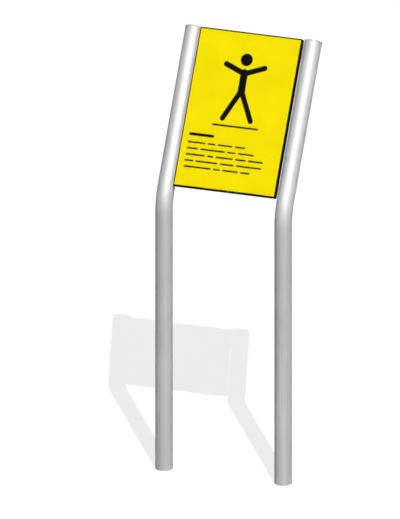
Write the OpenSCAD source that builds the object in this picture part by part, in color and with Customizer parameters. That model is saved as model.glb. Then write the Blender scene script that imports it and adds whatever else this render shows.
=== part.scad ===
// Station sign for an outdoor exercise trail.
// A two-coloured board leans back between two bent tube posts, on four lugs.
// The origin is on the ground, midway between the posts. +Z is up, and -Y faces the reader.
// Sizes are in millimetres.

/* [Posts] */
// Outside diameter of the post tube
tube_d = 60.3; // [54:0.1:70]
// Wall of the post tube
tube_wall = 2.9; // [2:0.1:4]
// Height above the ground at which the two straight stretches of a post would meet
bend_height = 984; // [800:1:1200]
// Lean of the upper stretch from upright, in degrees
lean = 30; // [15:1:35]
// Radius of the bend at the tube's axis
bend_radius = 180; // [120:1:210]

/* [Post caps] */
// Thickness of the cap's head, which covers the end of the tube
cap_head_t = 5.5; // [5:0.5:8]
// Radius of the rounded edge around the cap's head
cap_round = 2.5; // [1:0.25:2.5]
// Length of the cap's spigot inside the tube
cap_spigot_l = 18; // [12:1:30]
// Wall of the cap's spigot
cap_spigot_wall = 2; // [1.5:0.1:3]
// Gap between the spigot and the tube's bore
cap_clearance = 0.6; // [0.4:0.1:1]
// Gap between the spigot's gripping rings and the tube's bore
cap_ring_clearance = 0.1; // [0.05:0.05:0.3]
// Width of one gripping ring
cap_ring_w = 1.5; // [1:0.1:2.5]
// Number of gripping rings
cap_rings = 3; // [2:1:3]

/* [Feet] */
// Thickness of the disc that closes each post at the ground
foot_disc_t = 10; // [8:1:16]
// Gap between the disc and the tube's bore
foot_disc_clearance = 0.2; // [0.1:0.05:0.4]
// Tapping diameter of the thread for the ground anchor
foot_thread_d = 14; // [10:0.5:18]
// Depth and width of the weld groove around the disc
foot_weld = 3; // [2:0.5:4]

/* [Board] */
// Width of the board
board_w = 371; // [320:1:480]
// Height of the board, measured along its lean
board_h = 560; // [480:1:680]
// Full thickness of the board
board_t = 24; // [22:1:30]
// Thickness of the coloured layer on the front of the board
skin_t = 2; // [1:0.25:3]
// Width of the dark rim that is routed along the sides and the top of the coloured layer
rim_w = 3.5; // [2:0.5:8]
// Width of the dark rim along its bottom
bottom_rim_w = 4.5; // [2:0.5:10]
// Corner radius of the board
board_corner_r = 3; // [2:0.5:8]
// Gap between each side of the board and its post
side_gap = 2.1; // [1.5:0.1:6]
// From the bend's corner up the post to the bottom edge of the board
board_rise = 47; // [45:1:120]
// From the top edge of the board up the post to its top end
board_drop = 3; // [0:1:40]
// From the plane of the posts' axes forward to the front of the board
board_front = 27; // [26:0.5:34]

/* [Lugs] */
// Thickness of the lugs
lug_t = 6; // [4:0.5:7]
// Height of the lugs
lug_h = 50; // [40:1:60]
// How far a lug reaches behind the board from the board's side edge
lug_reach = 35; // [32:1:60]
// Corner radius of a lug's free end
lug_corner_r = 8; // [4:1:12]
// From the top or bottom edge of the board to the middle of a lug
lug_inset = 40; // [32:1:90]
// Radius of the weld bead along a lug
lug_weld_r = 3; // [2:0.5:4]

/* [Fasteners] */
// Diameter of the bolts
bolt_d = 8; // [6:0.5:8]
// Length of a bolt under its head
bolt_l = 20; // [16:1:20]
// Width of a bolt's head across its flats
bolt_head_af = 13; // [12:0.5:14]
// Height of a bolt's head
bolt_head_h = 5.3; // [4:0.1:6]
// From the side edge of the board to the middle of a bolt
bolt_edge = 20; // [17:1:22]
// Diameter of the bolt hole in a lug
lug_hole_d = 9; // [8.5:0.1:10]
// Outside diameter of the washers
washer_d = 16; // [15:0.5:18]
// Hole in the washers
washer_hole_d = 8.4; // [8.2:0.1:9]
// Thickness of the washers
washer_t = 1.6; // [1:0.1:2]
// Outside diameter of the threaded inserts, over their barbs
insert_d = 12; // [11:0.5:14]
// Length of the threaded inserts
insert_l = 15; // [13:0.5:16]
// Bore of the threaded inserts
insert_hole_d = 8.2; // [8.1:0.05:8.6]
// Height of an insert's barbs
insert_barb = 0.6; // [0.4:0.1:0.8]
// Number of barbs on an insert
insert_barbs = 4; // [3:1:5]
// Extra depth of the drilled hole behind an insert
insert_hole_extra = 1; // [0.5:0.5:2]
// Gap between an insert and its drilled hole
insert_clearance = 0.05; // [0.05:0.05:0.2]

/* [Markings] */
// From the side of the board to the text bars
text_margin = 25; // [15:1:40]
// From the bottom of the board up to the middle of the heading bar
heading_rise = 186; // [170:1:200]
// Length of the heading bar
heading_w = 92; // [60:1:160]
// Height of the heading bar
heading_h = 10; // [7:0.5:12]
// From the heading bar down to the first row of text bars
heading_gap = 28; // [20:1:34]
// Spacing of the rows of text bars
text_pitch = 21.5; // [14:0.5:24]
// Height of the text bars
text_h = 5.5; // [4:0.5:8]
// Space between two text bars
word_gap = 8; // [5:0.5:12]
// From the bottom of the board up to the line of ground under the figure
ground_rise = 228; // [215:1:240]
// Length of the ground line
ground_w = 168; // [100:1:220]
// Height of the ground line
ground_h = 6; // [4:0.5:8]
// From the ground line up to the figure's soles
figure_gap = 16; // [12:1:30]
// From the top of the figure up to the top edge of the board
figure_top_margin = 74; // [40:1:100]
// Width of the figure's strokes
figure_stroke = 19; // [14:0.5:22]

/* [Hidden] */

LEFT = -1;
RIGHT = 1;
// How far a cutting solid runs past the face that it opens
past = 1;

tube_r = tube_d / 2;
bore_r = tube_r - tube_wall;
post_x = board_w / 2 + side_gap + tube_r;
// Length that the bend takes from each straight stretch, up to the corner
bend_tangent = bend_radius * tan(lean / 2);
upper_l = board_rise + board_h + board_drop;
// The upper stretch of a post starts this far inside its bend
seam_l = 1;
// Too small to see. Surfaces that would only touch differ by this much, and cross cleanly instead
hair = 0.02;

disc_r = bore_r - foot_disc_clearance;

// Depths behind the posts' axis plane are positive, and those in front are negative
board_back_y = board_t - board_front;
skin_back_y = skin_t - board_front;
lug_back_y = board_back_y + lug_t;
washer_back_y = lug_back_y + washer_t;
bolt_x = board_w / 2 - bolt_edge;
lower_lug_z = board_rise + lug_inset;
upper_lug_z = board_rise + board_h - lug_inset;

text_w = board_w - 2 * text_margin;
// Each row lists its words as shares of the text's full width
text_rows = [
    [0.20, 0.09, 0.17, 0.12],
    [0.13, 0.28, 0.10, 0.18],
    [0.22, 0.07, 0.20, 0.12, 0.17],
    [0.10, 0.25, 0.16, 0.29],
    [0.31, 0.08, 0.18, 0.11],
];
figure_sole_z = ground_rise + figure_gap;
figure_h = board_h - figure_top_margin - figure_sole_z;
// The figure's proportions are shares of its height, measured from the middle of its soles
figure_head_r = 0.09;
figure_head_z = 1 - figure_head_r;
figure_shoulder = [0.035, 0.72];
figure_hand = [0.29, 0.82];
figure_hip = [0.02, 0.42];
figure_foot = [0.21, 0.04];

$fn = 96;

// Sum of the first n numbers of a list
function sum_of(list, n) = n == 0 ? 0 : list[n - 1] + sum_of(list, n - 1);

// Places its children in the leaning frame: +Z runs up the upper stretch of the posts
module leaning() {
    translate([0, 0, bend_height])
        rotate([-lean, 0, 0])
            children();
}

// A round rod along the axis of a post, with its two ends run on by the given length
module post_rod(r, run_on) {
    translate([0, 0, -run_on])
        cylinder(r = r, h = bend_height - bend_tangent + run_on);
    translate([0, bend_radius, bend_height - bend_tangent])
        rotate([90, 0, -90])
            rotate_extrude(angle = lean)
                translate([bend_radius, 0])
                    circle(r = r);
    leaning()
        translate([0, 0, bend_tangent - seam_l])
            cylinder(r = r + hair, h = upper_l - cap_head_t - bend_tangent + seam_l + run_on);
}

module post(side) {
    color("silver")
        translate([side * post_x, 0, 0])
            difference() {
                post_rod(tube_r, 0);
                post_rod(bore_r, past);
            }
}

// The head of a cap in section, from its axis outwards
module cap_head_section() {
    square([tube_r - cap_round, cap_head_t]);
    square([tube_r, cap_head_t - cap_round]);
    translate([tube_r - cap_round, cap_head_t - cap_round])
        circle(r = cap_round);
}

// The cap's head sits on the tube's end, and its rings grip the bore
module post_cap(side) {
    spigot_r = bore_r - cap_clearance;
    ring_pitch = cap_spigot_l / (cap_rings + 1);
    color("lightgray")
        leaning()
            translate([side * post_x, 0, upper_l - cap_head_t]) {
                rotate_extrude()
                    cap_head_section();
                difference() {
                    union() {
                        translate([0, 0, -cap_spigot_l])
                            cylinder(r = spigot_r, h = cap_spigot_l);
                        for (i = [1:cap_rings])
                            translate([0, 0, -i * ring_pitch])
                                cylinder(r = bore_r - cap_ring_clearance, h = cap_ring_w);
                    }
                    translate([0, 0, -cap_spigot_l - past])
                        cylinder(r = spigot_r - cap_spigot_wall, h = cap_spigot_l + past);
                }
            }
}

// A disc with the anchor's thread, bevelled below for its weld
module foot_disc(side) {
    color("gray")
        translate([side * post_x, 0, 0])
            difference() {
                union() {
                    cylinder(r1 = disc_r - foot_weld, r2 = disc_r, h = foot_weld);
                    translate([0, 0, foot_weld])
                        cylinder(r = disc_r, h = foot_disc_t - foot_weld);
                }
                translate([0, 0, -past])
                    cylinder(d = foot_thread_d, h = foot_disc_t + 2 * past);
            }
}

// The weld fills the groove between each disc and its tube, flush with the ground
module foot_welds() {
    color("dimgray")
        for (side = [LEFT, RIGHT])
            translate([side * post_x, 0, 0])
                rotate_extrude()
                    polygon([
                        [disc_r - foot_weld, 0],
                        [bore_r, 0],
                        [bore_r, foot_weld],
                        [disc_r, foot_weld],
                    ]);
}

// A lug's outline in its own plane, for the right post, before it is coped to the tube
module lug_outline() {
    inner_x = board_w / 2 - lug_reach;
    translate([inner_x + lug_corner_r, -lug_h / 2])
        square([post_x - inner_x - lug_corner_r, lug_h]);
    translate([inner_x, -lug_h / 2 + lug_corner_r])
        square([2 * lug_corner_r, lug_h - 2 * lug_corner_r]);
    for (end = [-1, 1])
        translate([inner_x + lug_corner_r, end * (lug_h / 2 - lug_corner_r)])
            circle(r = lug_corner_r);
}

// Mirrors its children from the right-hand side to the given side
module on_side(side) {
    mirror([side == LEFT ? 1 : 0, 0, 0])
        children();
}

module lug(side, z) {
    color("darkgray")
        on_side(side)
            difference() {
                leaning()
                    translate([0, lug_back_y, z])
                        rotate([90, 0, 0])
                            linear_extrude(lug_t)
                                lug_outline();
                translate([post_x, 0, 0])
                    post_rod(tube_r, past);
                leaning()
                    translate([bolt_x, lug_back_y + past, z])
                        rotate([90, 0, 0])
                            cylinder(d = lug_hole_d, h = lug_t + 2 * past);
            }
}

// One bead in the corner between each lug's back and its tube
module lug_welds() {
    corner_x = post_x - sqrt(pow(tube_r, 2) - pow(lug_back_y, 2));
    color("dimgray")
        for (side = [LEFT, RIGHT])
            for (z = [lower_lug_z, upper_lug_z])
                on_side(side)
                    difference() {
                        leaning()
                            translate([corner_x, lug_back_y, z - lug_h / 2])
                                intersection() {
                                    cylinder(r = lug_weld_r, h = lug_h);
                                    translate([-lug_weld_r, 0, 0])
                                        cube([2 * lug_weld_r, lug_weld_r, lug_h]);
                                }
                        translate([post_x, 0, 0])
                            post_rod(tube_r, past);
                    }
}

// A plate with round corners, its lower left front corner at the origin
module rounded_plate(w, t, h, r) {
    translate([r, 0, 0])
        cube([w - 2 * r, t, h]);
    translate([0, 0, r])
        cube([w, t, h - 2 * r]);
    for (x = [r, w - r])
        for (z = [r, h - r])
            translate([x, t, z])
                rotate([90, 0, 0])
                    cylinder(r = r, h = t);
}

// Places its children at each of the four bolts, with +Z towards the front
module at_bolts(y) {
    leaning()
        for (x = [-bolt_x, bolt_x])
            for (z = [lower_lug_z, upper_lug_z])
                translate([x, y, z])
                    rotate([90, 0, 0])
                        children();
}

module core_board() {
    color("black")
        difference() {
            leaning()
                translate([-board_w / 2, skin_back_y, board_rise])
                    rounded_plate(board_w, board_t - skin_t, board_h, board_corner_r);
            at_bolts(board_back_y + past)
                cylinder(
                    r = insert_d / 2 + insert_clearance,
                    h = insert_l + insert_hole_extra + past
                );
        }
}

// A straight stroke with round ends, from a to b
module stroke(a, b, w) {
    run = b - a;
    translate(a)
        circle(d = w);
    translate(b)
        circle(d = w);
    translate(a)
        rotate(atan2(run[1], run[0]))
            translate([0, -w / 2 + hair])
                square([norm(run), w - 2 * hair]);
}

// A bar with round ends that starts at x and is centred on z
module bar(x, z, w, h) {
    stroke([x + h / 2, z], [x + w - h / 2, z], h);
}

// A generic jumping figure, measured from the middle of its soles
module figure() {
    translate([0, figure_head_z * figure_h])
        circle(r = figure_head_r * figure_h);
    stroke(
        [0, figure_shoulder[1] * figure_h],
        [0, figure_hip[1] * figure_h],
        figure_stroke * 1.4
    );
    for (side = [LEFT, RIGHT]) {
        stroke(
            [side * figure_shoulder[0], figure_shoulder[1]] * figure_h,
            [side * figure_hand[0], figure_hand[1]] * figure_h,
            figure_stroke
        );
        stroke(
            [side * figure_hip[0], figure_hip[1]] * figure_h,
            [side * figure_foot[0], figure_foot[1]] * figure_h,
            figure_stroke
        );
    }
}

// Everything that is engraved, drawn from the lower left corner of the board
module markings() {
    translate([board_w / 2, figure_sole_z])
        figure();
    bar((board_w - ground_w) / 2, ground_rise, ground_w, ground_h);
    bar(text_margin, heading_rise, heading_w, heading_h);
    for (row = [0:len(text_rows) - 1]) {
        words = text_rows[row];
        for (word = [0:len(words) - 1])
            bar(
                text_margin + sum_of(words, word) * text_w + word * word_gap,
                heading_rise - heading_gap - row * text_pitch,
                words[word] * text_w,
                text_h
            );
    }
}

// The coloured layer stops short of the edges, and its markings are cut through to the core
module face_layer() {
    color("gold")
        leaning()
            translate([-board_w / 2, 0, board_rise])
                difference() {
                    translate([rim_w, -board_front, bottom_rim_w])
                        cube([board_w - 2 * rim_w, skin_t, board_h - rim_w - bottom_rim_w]);
                    translate([0, skin_back_y + past, 0])
                        rotate([90, 0, 0])
                            linear_extrude(skin_t + 2 * past)
                                markings();
                }
}

module threaded_inserts() {
    barb_pitch = insert_l / insert_barbs;
    color("goldenrod")
        at_bolts(board_back_y)
            difference() {
                union() {
                    cylinder(r = insert_d / 2 - insert_barb, h = insert_l);
                    for (i = [0:insert_barbs - 1])
                        translate([0, 0, i * barb_pitch])
                            cylinder(d = insert_d, h = barb_pitch / 2);
                }
                translate([0, 0, -past])
                    cylinder(d = insert_hole_d, h = insert_l + 2 * past);
            }
}

// Hexagon bolts from behind, with a bevel on the corners of each head
module panel_bolts() {
    corner_d = bolt_head_af / cos(30);
    color("lightsteelblue")
        at_bolts(washer_back_y) {
            cylinder(d = bolt_d, h = bolt_l);
            translate([0, 0, -bolt_head_h])
                intersection() {
                    cylinder(d = corner_d, h = bolt_head_h, $fn = 6);
                    cylinder(d1 = bolt_head_af, d2 = bolt_head_af + 2 * bolt_head_h, h = bolt_head_h);
                }
        }
}

module panel_washers() {
    color("lightgray")
        at_bolts(washer_back_y)
            difference() {
                cylinder(d = washer_d, h = washer_t);
                translate([0, 0, -past])
                    cylinder(d = washer_hole_d, h = washer_t + 2 * past);
            }
}

post(LEFT);  // left_post
post(RIGHT);  // right_post
post_cap(LEFT);  // left_post_cap
post_cap(RIGHT);  // right_post_cap
foot_disc(LEFT);  // left_foot_disc
foot_disc(RIGHT);  // right_foot_disc
foot_welds();
lug(LEFT, upper_lug_z);  // upper_left_lug
lug(LEFT, lower_lug_z);  // lower_left_lug
lug(RIGHT, upper_lug_z);  // upper_right_lug
lug(RIGHT, lower_lug_z);  // lower_right_lug
lug_welds();
core_board();
face_layer();
threaded_inserts();
panel_bolts();
panel_washers();
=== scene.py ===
"""The station sign's looks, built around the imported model. Lengths are in metres."""
import functools
import math

import bmesh
import bpy
from mathutils import Matrix, Vector


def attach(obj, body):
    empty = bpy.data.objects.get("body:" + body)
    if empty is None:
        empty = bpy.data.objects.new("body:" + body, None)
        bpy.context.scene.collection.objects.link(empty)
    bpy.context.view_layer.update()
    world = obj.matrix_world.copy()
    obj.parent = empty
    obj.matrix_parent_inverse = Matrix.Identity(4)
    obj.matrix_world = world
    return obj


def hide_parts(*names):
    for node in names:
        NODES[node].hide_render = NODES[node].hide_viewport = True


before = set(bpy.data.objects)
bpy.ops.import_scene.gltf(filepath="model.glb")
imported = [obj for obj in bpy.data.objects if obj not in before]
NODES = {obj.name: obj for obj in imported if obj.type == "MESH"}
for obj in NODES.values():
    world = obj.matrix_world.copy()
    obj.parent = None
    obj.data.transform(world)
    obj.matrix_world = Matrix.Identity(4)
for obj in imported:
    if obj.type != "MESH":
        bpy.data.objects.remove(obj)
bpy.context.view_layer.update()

# The photograph is a parallel view, taken from the right and from above
VIEW_AZIMUTH = math.radians(20)
VIEW_ELEVATION = math.radians(20)
PICTURE_HEIGHT = 1.7832
# The picture's middle, measured from the ground between the posts, across and up the picture
PICTURE_MIDDLE = (-0.0811, 0.7422)
CAMERA_DISTANCE = 12.0
CAMERA_RANGE = 48.0

# From the object towards the sun. The photograph's shadow falls to the left and backwards
TO_SUN = Vector((0.437, -0.718, 1.0)).normalized()
SUN_STRENGTH = 2.77
SUN_ANGLE = math.radians(0.2)
LAMP_DISTANCE = 5
SKY_STRENGTH = 0.31
# The sky is dimmer towards the left, which draws the dark left edges of the tubes
DIM_SIDE = (-0.94, -0.34, 0)
DIM_FROM = -0.35
DIM_STRENGTH = 0.02
# A broader lamp in the sun's place that only adds to the gloss
GLEAM_STRENGTH = 38
GLEAM_ANGLE = math.radians(20)
# A soft lamp for the back, opposite the camera, which the floor doesn't get
TO_FILL = Vector((-0.29, 0.80, 0.53)).normalized()
FILL_STRENGTH = 1.3
FILL_ANGLE = math.radians(60)

FLOOR_SIZE = 14.0
FLOOR_COLOUR = (0.40, 0.40, 0.40, 1)
# Share of the lamps' light that the camera sees on the floor, and the light added to make it white
FLOOR_SEEN = 0.27
FLOOR_GLOW = 0.781

# The posts lean back above this height, by this angle. In the leaning frame +Z runs up them
LEAN = math.radians(30)
BEND_HEIGHT = 0.984
BEND_RADIUS = 0.18
BEND_START = BEND_HEIGHT - BEND_RADIUS * math.tan(LEAN / 2)
LEANING = Matrix.Translation((0, 0, BEND_HEIGHT)) @ Matrix.Rotation(-LEAN, 4, "X")
UPRIGHT = LEANING.inverted()

# Sizes and places that repeat the part's source
SIDES = {"left": -1, "right": 1}
POST_X = 0.21775
TUBE_RADIUS = 0.03015
BORE_RADIUS = 0.02725
TUBE_END = 0.6045
BOARD_WIDTH = 0.371
BOARD_BOTTOM = 0.047
BOARD_TOP = 0.607
BOARD_RIM = 0.0035
BOARD_FRONT = -0.027
CORE_FRONT = -0.025
BOARD_BACK = -0.003
LUG_BACK = 0.003
WASHER_BACK = 0.0046
LUG_HEIGHTS = (0.087, 0.567)
LUG_LENGTH = 0.05
WELD_X = POST_X - math.sqrt(TUBE_RADIUS ** 2 - LUG_BACK ** 2)
BOLT_X = 0.1655
BOLT_PITCH = 0.00125
DISC_RADIUS = 0.02705
# The weld of a foot fills a groove of this depth at the disc's lower edge
DISC_GROOVE = 0.003

# Edges that bend more than this stay sharp, or are rounded
SHARP_ANGLE = math.radians(35)
# Faces that bend less than this become one
FLAT_ANGLE = math.radians(0.1)
# Points nearer than this become one
WELD_DISTANCE = 0.000002
# A point of the board's front lies within this of its plane
FRONT_DISTANCE = 0.00002
# The outline of the board lies within this of its edge
BOARD_EDGE_ZONE = 0.0035

YELLOW = (0.956, 0.783, 0.0015, 1)
BLACK = (0.0030, 0.0026, 0.0022, 1)
# A darker colour along the top edge of the yellow layer, and the distances below it where it fades
TOP_EDGE_DARK = (0.02, 0.015, 0.002, 1)
TOP_EDGE_DARK_REACH = (0.00096, 0.0016)
# The back of the board is painted greyer than the cut faces, a painted sheen of the sheet's moulded skin,
# and lighter where the skin is rubbed in places
SHEEN_SKIN = (0.010, 0.010, 0.0098, 1)
RUBBED_SHEEN_SKIN = (0.026, 0.026, 0.025, 1)
# The finish of one face of the board ends between these distances from its plane
FACE_NEAR = 0.0001
FACE_FAR = 0.0002

STEEL = (0.44, 0.44, 0.445, 1)
STEEL_METALLIC = 0.10
TURNED_METALLIC = 0.04
PLATE_METALLIC = 0.25
FASTENER_METALLIC = 0.55
STEEL_ROUGHNESS = (0.65, 0.71)
PLATE_ROUGHNESS = (0.42, 0.54)
# Most values of a noise lie in this range
NOISE_RANGE = (0.35, 0.65)
# Painted shade and highlight: lines along each tube, a dark one and then a bright one towards each
# side, placed by their distance across the tube in the direction turned by this angle. Each change has
# its start and end, as shares of the tube's radius, and how much lighter it is
PAINTED_SHADE_TURN = math.radians(20)
PAINTED_SHADE_STEPS = ((0.43, 0.48, -0.10), (0.56, 0.60, 0.25), (0.68, 0.73, -0.15))

# The heat tints fade between these distances beside the welds of the lugs, and past the welds' ends.
# Their edge wanders by this much
HEAT_BESIDE = (0.004, 0.013)
HEAT_PAST_END = (-0.003, 0.006)
HEAT_UNEVENNESS = 0.006
# From straw through brown to blue, and grey at the weld itself
HEAT_TINTS = (
    (0.15, (0.52, 0.45, 0.30, 1)),
    (0.45, (0.38, 0.27, 0.20, 1)),
    (0.75, (0.20, 0.22, 0.32, 1)),
    (1.0, (0.36, 0.37, 0.40, 1)),
)
# The heat at which the tint is at its full strength, and that strength
HEAT_FULL = 0.25
HEAT_STRENGTH = 0.55
WELD_TINTS = (
    (0.30, (0.20, 0.21, 0.26, 1)),
    (0.50, (0.40, 0.38, 0.36, 1)),
    (0.70, (0.46, 0.38, 0.26, 1)),
)
BRASS_DARK = (0.50, 0.34, 0.12, 1)
BRASS_LIGHT = (0.68, 0.49, 0.20, 1)


def shift(colour, factor):
    """The colour made lighter or darker by a factor."""
    return (*[min(1.0, part * factor) for part in colour[:3]], 1)


class Nodes:
    """A material's or a world's node tree, with short calls to add and link nodes."""

    # A Mix node has its colours at these places among its inputs and outputs
    MIX_COLOURS = (6, 7)
    MIX_RESULT = 2

    def __init__(self, owner):
        owner.use_nodes = True
        self.tree = owner.node_tree
        self.tree.nodes.clear()

    def add(self, kind, **values):
        node = self.tree.nodes.new(kind)
        for name, value in values.items():
            setattr(node, name, value)
        return node

    def link(self, source, target):
        self.tree.links.new(source, target)

    def maths(self, operation, first, second=0):
        node = self.add("ShaderNodeMath", operation=operation)
        for socket, value in zip(node.inputs, (first, second)):
            if isinstance(value, (int, float)):
                socket.default_value = value
            else:
                self.link(value, socket)
        return node.outputs[0]

    def total(self, values):
        return functools.reduce(lambda first, second: self.maths("ADD", first, second), values)

    def weighted(self, *parts):
        """The sum of some (value, weight)."""
        return self.total([self.maths("MULTIPLY", value, weight) for value, weight in parts])

    def diagonal(self, *lengths):
        """The length of the diagonal of some lengths at right angles."""
        return self.maths("SQRT", self.total([self.maths("MULTIPLY", part, part) for part in lengths]))

    def fit(self, value, from_range, to_range):
        """Maps a value from one range to another, and holds it inside."""
        node = self.add("ShaderNodeMapRange")
        self.link(value, node.inputs["Value"])
        for name, number in zip(("From Min", "From Max", "To Min", "To Max"), (*from_range, *to_range)):
            node.inputs[name].default_value = number
        return node.outputs["Result"]

    def noise(self, vector, scale, detail=2.0, roughness=0.5):
        node = self.add("ShaderNodeTexNoise")
        self.link(vector, node.inputs["Vector"])
        node.inputs["Scale"].default_value = scale
        node.inputs["Detail"].default_value = detail
        node.inputs["Roughness"].default_value = roughness
        return node.outputs["Fac"]

    def ramp(self, value, *stops):
        """Maps a value to a colour through stops of (place, colour)."""
        node = self.add("ShaderNodeValToRGB")
        self.link(value, node.inputs["Fac"])
        elements = node.color_ramp.elements
        while len(elements) < len(stops):
            elements.new(1.0)
        for element, (place, colour) in zip(elements, stops):
            element.position = place
            element.color = colour
        return node.outputs["Color"]

    def tones(self, value, places, colour, factors):
        """A colour that grows from its darkest to its lightest tone between two places."""
        return self.ramp(value, *[(place, shift(colour, factor)) for place, factor in zip(places, factors)])

    def stretched(self, vector, scale, turn=(0, 0, 0)):
        """A vector turned and then scaled along each axis."""
        node = self.add("ShaderNodeMapping")
        node.inputs["Rotation"].default_value = turn
        node.inputs["Scale"].default_value = scale
        self.link(vector, node.inputs["Vector"])
        return node.outputs["Vector"]

    def mix(self, factor, first, second):
        """Mixes two colours, each a constant or a socket."""
        node = self.add("ShaderNodeMix", data_type="RGBA")
        self.link(factor, node.inputs["Factor"])
        for index, colour in zip(self.MIX_COLOURS, (first, second)):
            if isinstance(colour, tuple):
                node.inputs[index].default_value = colour
            else:
                self.link(colour, node.inputs[index])
        return node.outputs[self.MIX_RESULT]

    def split(self, vector):
        node = self.add("ShaderNodeSeparateXYZ")
        self.link(vector, node.inputs[0])
        return node.outputs["X"], node.outputs["Y"], node.outputs["Z"]

    def bump(self, height, distance, strength, under=None):
        node = self.add("ShaderNodeBump")
        node.inputs["Distance"].default_value = distance
        node.inputs["Strength"].default_value = strength
        self.link(height, node.inputs["Height"])
        if under is not None:
            self.link(under, node.inputs["Normal"])
        return node.outputs["Normal"]

    def principled(self, colour, roughness, normal, **constants):
        """The output shader. A constant is set on the shader's own socket."""
        shader = self.add("ShaderNodeBsdfPrincipled")
        for name, value in (("Base Color", colour), ("Roughness", roughness), ("Normal", normal)):
            self.link(value, shader.inputs[name])
        for name, value in constants.items():
            shader.inputs[name.replace("_", " ")].default_value = value
        output = self.add("ShaderNodeOutputMaterial")
        self.link(shader.outputs["BSDF"], output.inputs["Surface"])


def new_material(name):
    material = bpy.data.materials.new(name)
    return material, Nodes(material)


def place(nodes):
    return nodes.add("ShaderNodeTexCoord").outputs["Object"]


def leaning_place(nodes):
    """Coordinates in the leaning frame."""
    node = nodes.add("ShaderNodeMapping")
    node.inputs["Rotation"].default_value = (LEAN, 0, 0)
    node.inputs["Location"].default_value = UPRIGHT.to_translation()
    nodes.link(place(nodes), node.inputs["Vector"])
    return node.outputs["Vector"]


def weld_heat(nodes):
    """1 beside the welds of the lugs, and 0 a little way off, with an uneven edge."""
    leaning = leaning_place(nodes)
    x, y, z = nodes.split(leaning)
    across = nodes.maths("SUBTRACT", nodes.maths("ABSOLUTE", x), WELD_X)
    behind = nodes.maths("SUBTRACT", y, LUG_BACK)
    uneven = nodes.maths("MULTIPLY", nodes.noise(leaning, scale=160, detail=3), HEAT_UNEVENNESS)
    distance = nodes.maths("ADD", nodes.diagonal(across, behind), uneven)
    from_lugs = [nodes.maths("ABSOLUTE", nodes.maths("SUBTRACT", z, height)) for height in LUG_HEIGHTS]
    beside = nodes.fit(distance, HEAT_BESIDE, (1, 0))
    ends = [LUG_LENGTH / 2 + reach for reach in HEAT_PAST_END]
    between_ends = nodes.fit(nodes.maths("MINIMUM", *from_lugs), ends, (1, 0))
    return nodes.maths("MULTIPLY", beside, between_ends)


def tinted(nodes, colour):
    """A steel colour with heat tints beside the welds."""
    heat = weld_heat(nodes)
    strength = nodes.fit(heat, (0, HEAT_FULL), (0, HEAT_STRENGTH))
    return nodes.mix(strength, colour, nodes.ramp(heat, *HEAT_TINTS))


def along_posts(nodes):
    """Coordinates of the posts as if they were straight: Z runs up their axes and round their bends."""
    x, y, z = nodes.split(place(nodes))
    depth = nodes.maths("SUBTRACT", y, BEND_RADIUS)
    rise = nodes.maths("SUBTRACT", z, BEND_START)
    angle = nodes.maths("ARCTAN2", rise, nodes.maths("MULTIPLY", depth, -1))
    bent = nodes.fit(angle, (0, LEAN), (0, LEAN))
    cosine = nodes.maths("COSINE", bent)
    sine = nodes.maths("SINE", bent)
    from_centre = nodes.maths(
        "SUBTRACT", nodes.maths("MULTIPLY", depth, cosine), nodes.maths("MULTIPLY", rise, sine)
    )
    up = nodes.weighted((rise, cosine), (depth, sine), (bent, BEND_RADIUS))
    straight = nodes.add("ShaderNodeCombineXYZ")
    nodes.link(x, straight.inputs["X"])
    nodes.link(nodes.maths("ADD", from_centre, BEND_RADIUS), straight.inputs["Y"])
    nodes.link(up, straight.inputs["Z"])
    return straight.outputs[0]


def painted_shade_lines(nodes, along):
    """Painted shade and highlight: how much lighter or darker the tube is on the lines that run along each
    side of it.
    """
    x, y, _ = nodes.split(along)
    from_axis = nodes.maths("SUBTRACT", x, nodes.maths("MULTIPLY", nodes.maths("SIGN", x), POST_X))
    across = (from_axis, math.cos(PAINTED_SHADE_TURN) / TUBE_RADIUS)
    forwards = (y, math.sin(PAINTED_SHADE_TURN) / TUBE_RADIUS)
    share = nodes.maths("ABSOLUTE", nodes.weighted(across, forwards))
    return nodes.total([nodes.fit(share, (start, end), (0, change)) for start, end, change in PAINTED_SHADE_STEPS])


def post_steel():
    """Stainless tube with a satin finish: bands and fine lines along its length, cloudy patches, and lines
    of painted shade and highlight.
    """
    material, nodes = new_material("post_steel")
    along = along_posts(nodes)
    bands = nodes.noise(nodes.stretched(along, (1, 1, 0.004)), scale=170, detail=1, roughness=0.4)
    lines = nodes.noise(nodes.stretched(along, (1, 1, 0.012)), scale=900, detail=3, roughness=0.6)
    clouds = nodes.noise(nodes.stretched(along, (1, 1, 0.35)), scale=14, detail=3, roughness=0.55)
    finish = nodes.weighted((lines, 0.3), (bands, 0.4), (clouds, 0.3))
    # The tone takes in the painted shade and highlight lines
    tone = nodes.maths("ADD", finish, painted_shade_lines(nodes, along))
    colour = nodes.tones(tone, (0.22, 0.78), STEEL, factors=(0.78, 1.20))
    roughness = nodes.fit(finish, (0.38, 0.62), STEEL_ROUGHNESS)
    normal = nodes.bump(lines, distance=0.00004, strength=0.6)
    nodes.principled(
        tinted(nodes, colour), roughness, normal, Metallic=STEEL_METALLIC, Specular_IOR_Level=0.0
    )
    return material


def plate_steel(name, tone, scale, metallic, welded=False):
    """Stainless bar with short scattered grinding marks."""
    material, nodes = new_material(name)
    here = place(nodes)
    marks = nodes.noise(nodes.stretched(here, (1, 0.06, 1)), scale, detail=4, roughness=0.65)
    clouds = nodes.noise(here, scale=30)
    both = nodes.weighted((marks, 0.6), (clouds, 0.4))
    colour = nodes.tones(both, NOISE_RANGE, STEEL, factors=(tone * 0.9, tone * 1.08))
    if welded:
        colour = tinted(nodes, colour)
    roughness = nodes.fit(both, NOISE_RANGE, PLATE_ROUGHNESS)
    normal = nodes.bump(marks, distance=0.00003, strength=0.5)
    nodes.principled(colour, roughness, normal, Metallic=metallic, Specular_IOR_Level=0.1)
    return material


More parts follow.
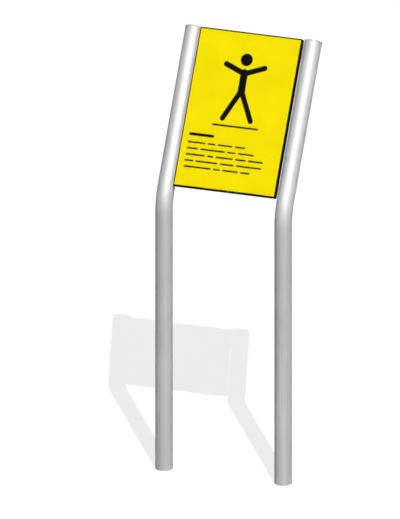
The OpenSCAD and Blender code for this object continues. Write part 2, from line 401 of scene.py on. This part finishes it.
def turned_steel(name, tone):
    """Stainless steel turned on a lathe: fine rings about the piece's own axis."""
    material, nodes = new_material(name)
    here = place(nodes)
    x, y, z = nodes.split(here)
    rings = nodes.add("ShaderNodeCombineXYZ")
    nodes.link(nodes.diagonal(x, y), rings.inputs["X"])
    nodes.link(z, rings.inputs["Z"])
    marks = nodes.noise(rings.outputs[0], scale=2200, detail=3, roughness=0.6)
    clouds = nodes.noise(here, scale=60)
    both = nodes.weighted((marks, 0.6), (clouds, 0.4))
    colour = nodes.tones(both, NOISE_RANGE, STEEL, factors=(tone * 0.93, tone * 1.06))
    roughness = nodes.fit(both, NOISE_RANGE, STEEL_ROUGHNESS)
    normal = nodes.bump(marks, distance=0.00003, strength=0.5)
    nodes.principled(colour, roughness, normal, Metallic=TURNED_METALLIC, Specular_IOR_Level=0.0)
    return material


def weld_steel():
    """Weld metal with straw and blue heat tints."""
    material, nodes = new_material("weld_steel")
    here = place(nodes)
    tint = nodes.noise(here, scale=180, detail=3)
    roughness = nodes.fit(tint, (0.3, 0.7), (0.34, 0.50))
    normal = nodes.bump(nodes.noise(here, scale=900), distance=0.00005, strength=0.5)
    nodes.principled(nodes.ramp(tint, *WELD_TINTS), roughness, normal, Metallic=PLATE_METALLIC)
    return material


def darker_at_top_edge(nodes, colour):
    """A colour that darkens towards the top edge of the yellow layer."""
    height = nodes.split(leaning_place(nodes))[2]
    from_top = nodes.maths("SUBTRACT", BOARD_TOP - BOARD_RIM, height)
    return nodes.mix(nodes.fit(from_top, TOP_EDGE_DARK_REACH, (1, 0)), colour, TOP_EDGE_DARK)


def board_plastic(name, colour, roughness_range, gloss, core=False):
    """Outdoor polyethylene: a fine pebbled skin, faint cloudiness and a few dull scuffs.

    The core also has a greyer skin on its back, a painted sheen that is lighter where rubbed, and tool
    marks in the floor of the markings.
    """
    material, nodes = new_material(name)
    here = place(nodes)
    clouds_range = (0.3, 0.7)
    pebble = nodes.noise(here, scale=1100, detail=2, roughness=0.55)
    clouds = nodes.noise(here, scale=9, detail=3)
    slanting = nodes.stretched(here, (1, 0.2, 0.2), turn=(0, 0.5, 0))
    scuffs = nodes.noise(slanting, scale=60, detail=5, roughness=0.7)
    tone = nodes.tones(clouds, clouds_range, colour, factors=(0.965, 1.02))
    worn = nodes.fit(scuffs, (0.62, 0.74), (0.0, 0.08))
    roughness = nodes.maths("ADD", nodes.fit(clouds, clouds_range, roughness_range), worn)
    normal = nodes.bump(pebble, distance=0.00018, strength=0.7)
    if core:
        leaning = leaning_place(nodes)
        depth = nodes.split(leaning)[1]
        on_back = nodes.fit(depth, (BOARD_BACK - FACE_FAR, BOARD_BACK - FACE_NEAR), (0, 1))
        rubbed = nodes.weighted((scuffs, 0.6), (clouds, 0.4))
        # The back is painted greyer as a sheen, and lighter where the noise marks it as rubbed
        tone = nodes.mix(on_back, tone, nodes.ramp(rubbed, (0.38, SHEEN_SKIN), (0.66, RUBBED_SHEEN_SKIN)))
        in_floor = nodes.fit(depth, (CORE_FRONT + FACE_NEAR, CORE_FRONT + FACE_FAR), (1, 0))
        tool_marks = nodes.noise(nodes.stretched(leaning, (0.03, 1, 1)), scale=700)
        floor_marks = nodes.maths("MULTIPLY", tool_marks, in_floor)
        normal = nodes.bump(floor_marks, distance=0.0001, strength=0.6, under=normal)
    else:
        tone = darker_at_top_edge(nodes, tone)
    nodes.principled(tone, roughness, normal, Specular_IOR_Level=gloss)
    return material


def brass():
    material, nodes = new_material("insert_brass")
    turned = nodes.noise(nodes.stretched(place(nodes), (1, 0.1, 1)), scale=700, detail=3)
    colour = nodes.ramp(turned, *zip(NOISE_RANGE, (BRASS_DARK, BRASS_LIGHT)))
    roughness = nodes.fit(turned, NOISE_RANGE, (0.26, 0.38))
    normal = nodes.bump(turned, distance=0.00003, strength=0.4)
    nodes.principled(colour, roughness, normal, Metallic=1.0)
    return material


def ring_of(mesh, point, steps, at):
    """A ring of vertices about the Z axis, from a (radius, height) or a function of the angle."""
    ring = []
    for step in range(steps):
        angle = math.tau * step / steps
        radius, height = point(angle) if callable(point) else point
        corner = Vector((radius * math.cos(angle), radius * math.sin(angle), height))
        ring.append(mesh.verts.new(at @ corner))
        if radius == 0:
            break
    return ring


def join_rings(mesh, rings, steps, closed):
    """Spans faces between each ring and the next. A ring of one vertex is a pole."""
    following = rings[1:] + rings[:1] if closed else rings[1:]
    for low, high in zip(rings, following):
        for step in range(steps):
            after = (step + 1) % steps
            below = (low[step % len(low)], low[after % len(low)])
            above = (high[after % len(high)], high[step % len(high)])
            mesh.faces.new(list(dict.fromkeys(below + above)))


def turn(mesh, profile, steps, at=Matrix(), closed=False):
    """Turns a profile about the Z axis."""
    join_rings(mesh, [ring_of(mesh, point, steps, at) for point in profile], steps, closed)


def arc(centre_radius, centre_height, radius, start, end, steps):
    """Points of a profile on an arc, from one angle to another in degrees."""
    angles = [math.radians(start + (end - start) * step / steps) for step in range(steps + 1)]
    return [(centre_radius + radius * math.cos(a), centre_height + radius * math.sin(a)) for a in angles]


def thread(radius, depth, pitch, start, end):
    """Points of a profile along a screw thread, with its grooves cut inwards or, below zero, outwards."""
    rings_in_turn = 8
    count = max(1, round(abs(end - start) / pitch * rings_in_turn))

    def at(height):
        def point(angle):
            turns = (height / pitch - angle / math.tau) % 1
            # A quarter of each turn is crest, a quarter is root, and straight flanks join them
            groove = min(1.0, max(0.0, 4 * abs(turns - 0.5) - 0.5))
            fade = min(1.0, abs(height - start) / pitch, abs(end - height) / pitch)
            return radius - depth * groove * fade, height
        return point

    return [at(start + (end - start) * step / count) for step in range(count + 1)]


def arched(share):
    """An arch over the shares from 0 to 1: 0 at both ends, and 1 in the middle."""
    return 1 - (2 * share - 1) ** 2


def make_piece(name, mesh, material, nodes, at=Matrix()):
    """Turns a bmesh into a piece that stands for some CAD nodes and rides with them."""
    bmesh.ops.recalc_face_normals(mesh, faces=mesh.faces)
    data = bpy.data.meshes.new(name)
    mesh.to_mesh(data)
    mesh.free()
    data.shade_smooth()
    data.set_sharp_from_angle(angle=SHARP_ANGLE)
    data.materials.append(material)
    piece = bpy.data.objects.new(name, data)
    piece.matrix_world = at
    bpy.context.scene.collection.objects.link(piece)
    even = piece.modifiers.new("even_normals", "WEIGHTED_NORMAL")
    even.keep_sharp = True
    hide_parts(*nodes)
    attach(piece, "root")


def soften(name, node, material, width, chosen, weld=WELD_DISTANCE):
    """A copy of a CAD node, with its chosen sharp edges rounded."""
    source = NODES[node].data
    mesh = bmesh.new()
    corners = [mesh.verts.new(vertex.co) for vertex in source.vertices]
    for face in source.polygons:
        mesh.faces.new([corners[index] for index in face.vertices])
    bmesh.ops.remove_doubles(mesh, verts=mesh.verts, dist=weld)
    bmesh.ops.dissolve_limit(mesh, angle_limit=FLAT_ANGLE, verts=mesh.verts, edges=mesh.edges)
    sharp = [
        edge for edge in mesh.edges
        if edge.calc_face_angle(0) > SHARP_ANGLE and all(chosen(UPRIGHT @ end.co) for end in edge.verts)
    ]
    bmesh.ops.bevel(
        mesh, geom=sharp, offset=width, segments=3, profile=0.5, affect="EDGES", clamp_overlap=False
    )
    make_piece(name, mesh, material, [node])


def near_board_edge(point):
    """Whether a point in the leaning frame lies on the outline of the board, not on a drilled hole."""
    side = BOARD_WIDTH / 2 - abs(point.x)
    return min(side, point.z - BOARD_BOTTOM, BOARD_TOP - point.z) < BOARD_EDGE_ZONE


def on_board_front(point):
    return point.y < BOARD_FRONT + FRONT_DISTANCE


def make_board(black, yellow):
    """The core and the yellow layer. In the layer, hairs between the strokes of a marking are closed."""
    hair = 0.00004
    soften("board_core", "core_board", black, width=0.0007, chosen=near_board_edge)
    soften(
        "board_face", "face_layer", yellow, width=0.0003, chosen=on_board_front, weld=hair
    )


def make_lugs(material):
    for level in ("upper", "lower"):
        for word in SIDES:
            node = f"{level}_{word}_lug"
            soften(f"{node}_plate", node, material, width=0.0005, chosen=lambda point: True)


def make_posts(material):
    """The bent tubes, with their bores and with the cut edges of both ends taken off."""
    edge, bend_steps, around = 0.0004, 40, 128
    bend = []
    for step in range(bend_steps + 1):
        angle = LEAN * step / bend_steps
        middle = (0, BEND_RADIUS * (1 - math.cos(angle)), BEND_START + BEND_RADIUS * math.sin(angle))
        bend.append(Matrix.Translation(middle) @ Matrix.Rotation(-angle, 4, "X"))
    low = Matrix()
    low_edge = Matrix.Translation((0, 0, edge))
    top = LEANING @ Matrix.Translation((0, 0, TUBE_END))
    top_edge = LEANING @ Matrix.Translation((0, 0, TUBE_END - edge))
    outside = [(low, TUBE_RADIUS - edge), (low_edge, TUBE_RADIUS)]
    outside += [(at, TUBE_RADIUS) for at in bend]
    outside += [(top_edge, TUBE_RADIUS), (top, TUBE_RADIUS - edge)]
    inside = [(top, BORE_RADIUS)] + [(at, BORE_RADIUS) for at in reversed(bend)] + [(low, BORE_RADIUS)]
    for word, side in SIDES.items():
        mesh = bmesh.new()
        axis = Matrix.Translation((side * POST_X, 0, 0))
        rings = [ring_of(mesh, (radius, 0), around, axis @ at) for at, radius in outside + inside]
        join_rings(mesh, rings, around, closed=True)
        make_piece(f"{word}_tube", mesh, material, [f"{word}_post"])


def make_caps(material):
    """A turned cap: a crowned head with a rounded edge, a bevelled joint, and a spigot with rings."""
    head, crown, edge, joint = 0.0055, 0.00025, 0.0025, 0.0004
    spigot, hollow, depth, lead_in = BORE_RADIUS - 0.0006, 0.02465, 0.018, 0.0006
    rings, pitch, ring_height, grip = 3, 0.0045, 0.0015, BORE_RADIUS - 0.0001
    grip_top, grip_bottom = 0.0003, 0.0009
    flat = TUBE_RADIUS - edge
    # Half way out, the crown has dropped by a quarter
    profile = [(0, head), (flat * 0.5, head - crown * 0.25)]
    profile += arc(flat, head - crown - edge, edge, 90, 0, steps=8)
    profile += [(TUBE_RADIUS, joint), (TUBE_RADIUS - joint, 0), (spigot, 0)]
    for ring in range(1, rings + 1):
        top = -ring * pitch + ring_height
        profile += [(spigot, top), (grip, top - grip_top)]
        profile += [(grip, top - grip_bottom), (spigot, top - ring_height)]
    profile += [(spigot, lead_in - depth), (spigot - lead_in, -depth)]
    profile += [(hollow, -depth), (hollow, 0), (0, 0)]
    for word, side in SIDES.items():
        mesh = bmesh.new()
        turn(mesh, profile, 96)
        at = LEANING @ Matrix.Translation((side * POST_X, 0, TUBE_END))
        make_piece(f"{word}_cap", mesh, material, [f"{word}_post_cap"], at)


def make_foot_discs(material):
    """The disc in a post's foot, with the screw thread that takes the ground anchor."""
    height, edge, bore, lead_in, groove, pitch = 0.010, 0.0005, 0.007, 0.001, 0.0009, 0.002
    profile = [(DISC_RADIUS - DISC_GROOVE, 0), (DISC_RADIUS, DISC_GROOVE)]
    profile += [(DISC_RADIUS, height - edge), (DISC_RADIUS - edge, height)]
    profile += [(bore + lead_in, height), (bore, height - lead_in)]
    profile += thread(bore, -groove, pitch, height - lead_in, lead_in)
    profile += [(bore + lead_in, 0)]
    for word, side in SIDES.items():
        mesh = bmesh.new()
        turn(mesh, profile, 72, closed=True)
        at = Matrix.Translation((side * POST_X, 0, 0))
        make_piece(f"{word}_anchor_disc", mesh, material, [f"{word}_foot_disc"], at)


def make_foot_welds(material):
    """A rippled weld between each foot disc and its tube, flush with the ground."""
    ripples, steps_in_ripple, ripple_bend, hollow, across = 84, 6, 0.35, 0.0004, 6
    inner = DISC_RADIUS - DISC_GROOVE

    def bead(share):
        def point(angle):
            bend = ripple_bend * arched(share)
            ripple = abs(math.sin(math.pi * (ripples * angle / math.tau + bend)))
            height = hollow * (1 - ripple) * math.sin(math.pi * share)
            return inner + share * (BORE_RADIUS - inner), height
        return point

    profile = [bead(step / across) for step in range(across + 1)]
    profile += [(BORE_RADIUS, DISC_GROOVE), (DISC_RADIUS, DISC_GROOVE)]
    mesh = bmesh.new()
    for side in SIDES.values():
        at = Matrix.Translation((side * POST_X, 0, 0))
        turn(mesh, profile, ripples * steps_in_ripple, at, closed=True)
    make_piece("foot_weld_rings", mesh, material, ["foot_welds"])


def lug_weld_section(along):
    """The outline of a lug's weld at a place along it, as points (across, depth) in the leaning frame."""
    size, smallest, root, around, start, sweep = 0.003, 0.0001, 0.0007, 10, 180, 96
    ripple_pitch, ripple_bend, ripple_sharpness, hollow = 0.0021, 0.0011, 0.7, 0.84
    end = min(1.0, (along + smallest) / size, (LUG_LENGTH - along + smallest) / size)
    full = size * math.sqrt(1 - (1 - end) ** 2)
    section = [(WELD_X + root, LUG_BACK - root), (WELD_X - full, LUG_BACK - root)]
    for point in range(around + 1):
        share = point / around
        bend = ripple_bend * arched(share)
        ripple = abs(math.sin(math.pi * (along + bend) / ripple_pitch)) ** ripple_sharpness
        radius = full * (hollow + (1 - hollow) * ripple)
        angle = math.radians(start - sweep * share)
        section.append((WELD_X + radius * math.cos(angle), LUG_BACK + radius * math.sin(angle)))
    return section


def make_lug_welds(material):
    """A rippled bead in the corner between each lug's back and its tube, with rounded ends."""
    steps = 260
    places = [LUG_LENGTH * step / steps for step in range(steps + 1)]
    mesh = bmesh.new()
    for side in SIDES.values():
        for height in LUG_HEIGHTS:
            sections = []
            for along in places:
                level = height - LUG_LENGTH / 2 + along
                corners = [LEANING @ Vector((side * x, y, level)) for x, y in lug_weld_section(along)]
                sections.append([mesh.verts.new(corner) for corner in corners])
            for low, high in zip(sections, sections[1:]):
                for point in range(len(low)):
                    mesh.faces.new((low[point - 1], low[point], high[point], high[point - 1]))
            mesh.faces.new(sections[0])
            mesh.faces.new(sections[-1])
    make_piece("lug_weld_beads", mesh, material, ["lug_welds"])


def at_bolts(depth):
    """Places of the four bolts, with +Z towards the board's front."""
    forwards = Matrix.Rotation(math.radians(90), 4, "X")
    return [
        LEANING @ Matrix.Translation((side * BOLT_X, depth, height)) @ forwards
        for side in SIDES.values() for height in LUG_HEIGHTS
    ]


def make_bolts(material):
    """Hexagon bolts with a bevelled and dished head, a washer face under it and a real thread."""
    half_flats, corner, height, bevel = 0.0065, 1.14, 0.0053, 0.0062
    dish_radius, dish_edge, dish_depth = 0.0048, 0.0053, 0.0004
    face_radius, face_height = 0.0060, 0.0003
    shank, plain, groove, length, tip, tip_bevel = 0.004, 0.002, 0.0006, 0.020, 0.001, 0.0008
    slope = math.tan(math.radians(30))

    def flats(angle):
        to_flat = (angle + math.radians(30)) % math.radians(60) - math.radians(30)
        return min(half_flats / math.cos(to_flat), half_flats * corner)

    profile = [(0, dish_depth - height), (dish_radius, dish_depth - height), (dish_edge, -height)]
    profile.append((bevel, -height))
    profile.append(lambda angle: (flats(angle), (flats(angle) - bevel) * slope - height))
    profile.append(lambda angle: (flats(angle), -face_height))
    profile += [(face_radius, -face_height), (face_radius, 0), (shank, 0), (shank, plain)]
    profile += thread(shank, groove, BOLT_PITCH, plain, length - tip)
    profile += [(shank - tip_bevel, length), (0, length)]
    mesh = bmesh.new()
    for at in at_bolts(WASHER_BACK):
        turn(mesh, profile, 60, at)
    make_piece("board_bolts", mesh, material, ["panel_bolts"])


def make_washers(material):
    """Punched washers: rounded at the outer edge on the side of the bolt's head."""
    inner, outer, height, round_edge, edge = 0.0042, 0.008, 0.0016, 0.0003, 0.0001
    profile = [(inner, edge), (inner + edge, 0)]
    profile += arc(outer - round_edge, round_edge, round_edge, -90, 0, steps=3)
    profile += [(outer, height - edge), (outer - edge, height)]
    profile += [(inner + edge, height), (inner, height - edge)]
    mesh = bmesh.new()
    for at in at_bolts(WASHER_BACK):
        turn(mesh, profile, 64, at, closed=True)
    make_piece("board_washers", mesh, material, ["panel_washers"])


def make_inserts(material):
    """Press-in inserts: sloped barbs with fine knurling outside, and a thread inside."""
    body, barb, barbs, length, bore, groove, edge = 0.0054, 0.006, 4, 0.015, 0.0041, 0.0004, 0.0004
    pitch = length / barbs
    # A barb is widest this far above its foot. Its slope and groove end at these shares of its pitch
    widest, slope_end, groove_end = 0.0001, 0.55, 0.96
    knurl_height, knurls = 0.00015, 36

    def knurled(radius, height):
        return lambda angle: (radius - knurl_height * (1 + math.cos(knurls * angle)), height)

    profile = []
    for ring in range(barbs):
        foot = ring * pitch
        profile.append(knurled(barb, foot + widest))
        profile += [knurled(body, foot + pitch * share) for share in (slope_end, groove_end)]
    profile += [(body - edge, length), (bore + edge, length), (bore, length - edge)]
    profile += thread(bore, -groove, BOLT_PITCH, length - edge, edge)
    profile += [(bore + edge, 0), (barb - edge, 0)]
    mesh = bmesh.new()
    for at in at_bolts(BOARD_BACK):
        turn(mesh, profile, 72, at, closed=True)
    make_piece("board_inserts", mesh, material, ["threaded_inserts"])


def make_pieces():
    make_posts(post_steel())
    make_board(
        board_plastic("board_black", BLACK, roughness_range=(0.52, 0.62), gloss=0.006, core=True),
        board_plastic("board_yellow", YELLOW, roughness_range=(0.46, 0.56), gloss=0.003),
    )
    make_lugs(plate_steel("lug_steel", tone=1.10, scale=450, metallic=PLATE_METALLIC, welded=True))
    make_caps(turned_steel("cap_steel", tone=1.04))
    make_foot_discs(turned_steel("disc_steel", tone=0.98))
    welds = weld_steel()
    make_foot_welds(welds)
    make_lug_welds(welds)
    fasteners = plate_steel("fastener_steel", tone=0.80, scale=900, metallic=FASTENER_METALLIC)
    make_bolts(fasteners)
    make_washers(fasteners)
    make_inserts(brass())


def seen_by_eye(nodes):
    """1 for rays that show the background: those from the camera, off metal and through glass."""
    path = nodes.add("ShaderNodeLightPath").outputs
    seen = nodes.maths("MAXIMUM", path["Is Camera Ray"], path["Is Glossy Ray"])
    return nodes.maths("MAXIMUM", seen, path["Is Transmission Ray"])


def two_ways(nodes, unseen, seen, output_kind):
    """Ends a node tree in one shader for the light, and another for what the eye sees."""
    mix = nodes.add("ShaderNodeMixShader")
    nodes.link(seen_by_eye(nodes), mix.inputs["Fac"])
    nodes.link(unseen.outputs[0], mix.inputs[1])
    nodes.link(seen.outputs[0], mix.inputs[2])
    output = nodes.add(output_kind)
    nodes.link(mix.outputs[0], output.inputs["Surface"])


def make_floor():
    """A pale floor that looks white, and darkens only in the object's shadow."""
    half = FLOOR_SIZE / 2
    mesh = bpy.data.meshes.new("floor")
    corners = [(-half, -half, 0), (half, -half, 0), (half, half, 0), (-half, half, 0)]
    mesh.from_pydata(corners, [], [(0, 1, 2, 3)])
    floor = bpy.data.objects.new("floor", mesh)
    bpy.context.scene.collection.objects.link(floor)
    material, nodes = new_material("floor")
    mesh.materials.append(material)
    plain = nodes.add("ShaderNodeBsdfDiffuse")
    plain.inputs["Color"].default_value = FLOOR_COLOUR
    dim = nodes.add("ShaderNodeBsdfDiffuse")
    dim.inputs["Color"].default_value = (FLOOR_SEEN, FLOOR_SEEN, FLOOR_SEEN, 1)
    glow = nodes.add("ShaderNodeEmission")
    glow.inputs["Strength"].default_value = FLOOR_GLOW
    lit = nodes.add("ShaderNodeAddShader")
    nodes.link(dim.outputs[0], lit.inputs[0])
    nodes.link(glow.outputs[0], lit.inputs[1])
    two_ways(nodes, plain, lit, "ShaderNodeOutputMaterial")
    return floor


def make_sky():
    """A sky that lights softly, dimmer towards the left, and looks white."""
    world = bpy.data.worlds.new("sky")
    bpy.context.scene.world = world
    nodes = Nodes(world)
    towards = nodes.add("ShaderNodeVectorMath", operation="DOT_PRODUCT")
    nodes.link(nodes.add("ShaderNodeTexCoord").outputs["Generated"], towards.inputs[0])
    towards.inputs[1].default_value = DIM_SIDE
    strength = nodes.fit(towards.outputs["Value"], (DIM_FROM, 1), (SKY_STRENGTH, DIM_STRENGTH))
    soft = nodes.add("ShaderNodeBackground")
    nodes.link(strength, soft.inputs["Strength"])
    white = nodes.add("ShaderNodeBackground")
    for shader in (soft, white):
        shader.inputs["Color"].default_value = (1, 1, 1, 1)
    two_ways(nodes, soft, white, "ShaderNodeOutputWorld")


def make_lamp(name, strength, angle, towards=TO_SUN):
    """A far lamp, with the direction from the object towards it."""
    light = bpy.data.lights.new(name, "SUN")
    light.energy = strength
    light.angle = angle
    lamp = bpy.data.objects.new(name, light)
    lamp.rotation_mode = "QUATERNION"
    lamp.rotation_quaternion = towards.to_track_quat("Z", "Y")
    lamp.location = towards * LAMP_DISTANCE
    bpy.context.scene.collection.objects.link(lamp)
    return lamp


def keep_off(lamp, thing):
    """Keeps a lamp's light off one thing."""
    spared = bpy.data.collections.new(f"not_lit_by_{lamp.name}")
    spared.objects.link(thing)
    lamp.light_linking.receiver_collection = spared
    spared.collection_objects[0].light_linking.link_state = "EXCLUDE"


def make_camera():
    """A parallel view from the photograph's side, with the same frame round the object."""
    across = Vector((math.cos(VIEW_AZIMUTH), math.sin(VIEW_AZIMUTH), 0))
    back = Vector((
        math.sin(VIEW_AZIMUTH) * math.cos(VIEW_ELEVATION),
        -math.cos(VIEW_AZIMUTH) * math.cos(VIEW_ELEVATION),
        math.sin(VIEW_ELEVATION),
    ))
    up = back.cross(across)
    lens = bpy.data.cameras.new("camera")
    lens.type = "ORTHO"
    lens.ortho_scale = PICTURE_HEIGHT
    lens.clip_end = CAMERA_RANGE
    camera = bpy.data.objects.new("camera", lens)
    middle = across * PICTURE_MIDDLE[0] + up * PICTURE_MIDDLE[1]
    facing = Matrix((across, up, back)).transposed().to_4x4()
    camera.matrix_world = Matrix.Translation(middle + back * CAMERA_DISTANCE) @ facing
    bpy.context.scene.collection.objects.link(camera)
    bpy.context.scene.camera = camera


make_pieces()
floor = make_floor()
make_sky()
make_lamp("sun", SUN_STRENGTH, SUN_ANGLE)
make_lamp("gleam", GLEAM_STRENGTH, GLEAM_ANGLE).visible_diffuse = False
keep_off(make_lamp("fill", FILL_STRENGTH, FILL_ANGLE, TO_FILL), floor)
make_camera()
bpy.context.scene.view_settings.view_transform = "Standard"
